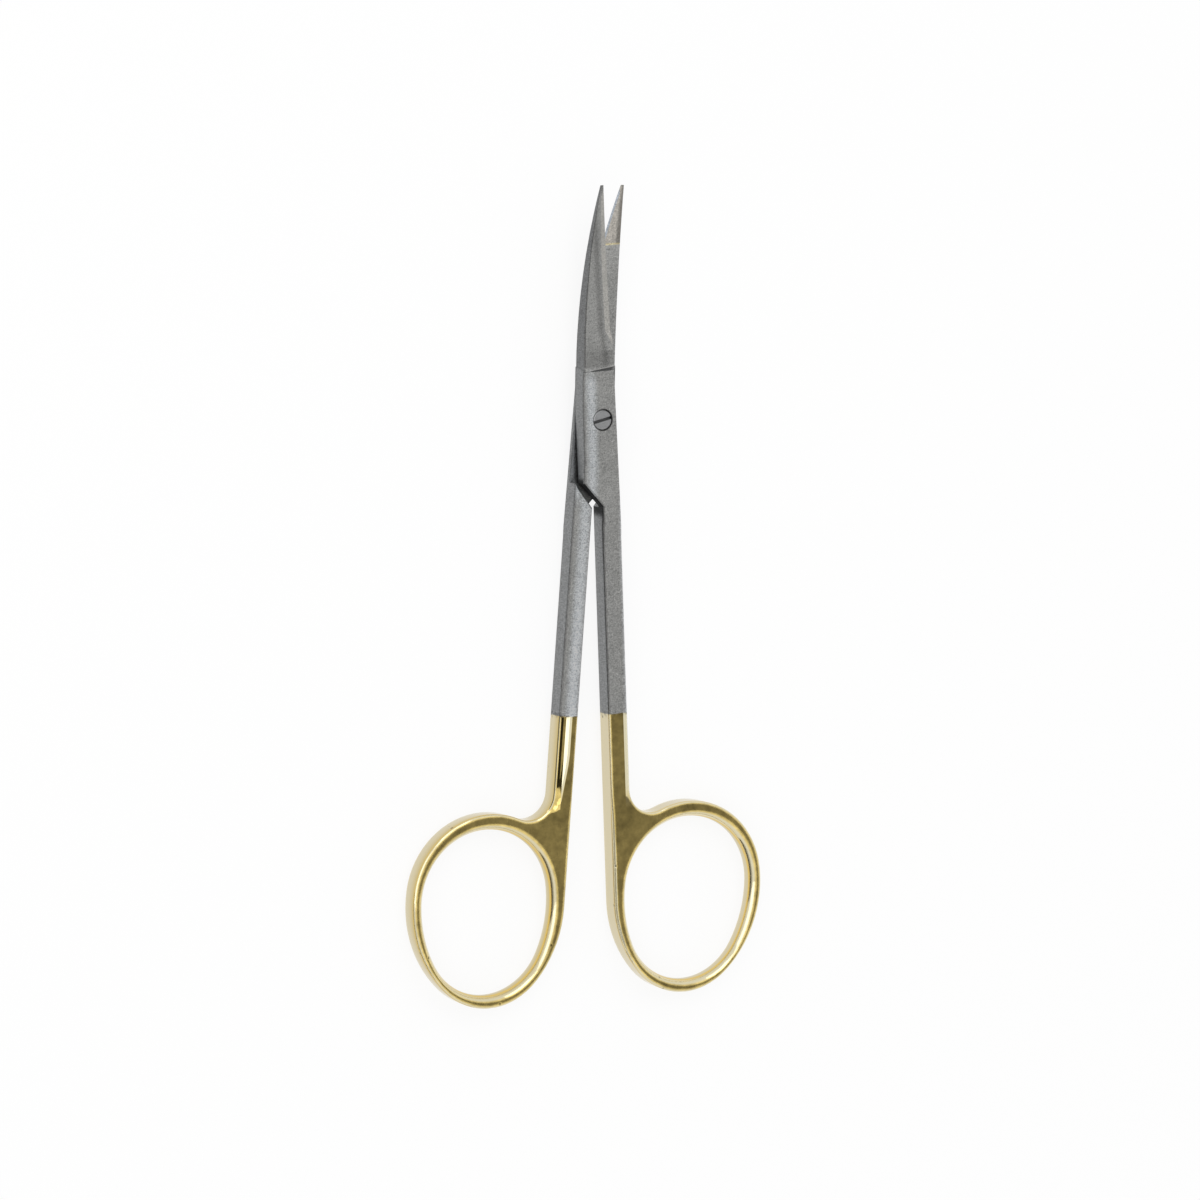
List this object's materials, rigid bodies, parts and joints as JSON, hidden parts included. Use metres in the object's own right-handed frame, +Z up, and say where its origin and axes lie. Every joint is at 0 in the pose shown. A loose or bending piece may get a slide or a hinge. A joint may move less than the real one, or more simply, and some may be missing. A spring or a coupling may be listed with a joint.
{
  "type": "iris scissors",
  "caption": "Slender curved iris scissors with lap joint, slotted pivot screw, inlaid cutting strips and oval finger rings on gold-plated handles.",
  "frame": {"origin": "on the pivot axis, at the rear arm's flat outer joint face, on which the joint lies", "axes": "+Y from the finger rings to the tips, +Z up along the pivot axis towards the screw head, +X to the right finger ring"},
  "size_m": [0.055, 0.1137, 0.0066],
  "materials": {
    "steel": "satin stainless steel; finger rings and lower shanks mirror-polished and gold-plated",
    "carbide": "fine ground",
    "screw_steel": "satin"
  },
  "bodies": {
    "rear_half": {"rear_arm": "steel", "rear_cutting_insert": "carbide", "pivot_screw": "screw_steel"},
    "front_half": {"front_arm": "steel", "front_cutting_insert": "carbide"}
  },
  "joints": [
    {"name": "pivot", "type": "hinge", "parent": "rear_half", "child": "front_half", "pos_m": [0, 0, 0.00245], "axis": [0, 0, 1], "range_deg": [-6.4, 50]}
  ]
}
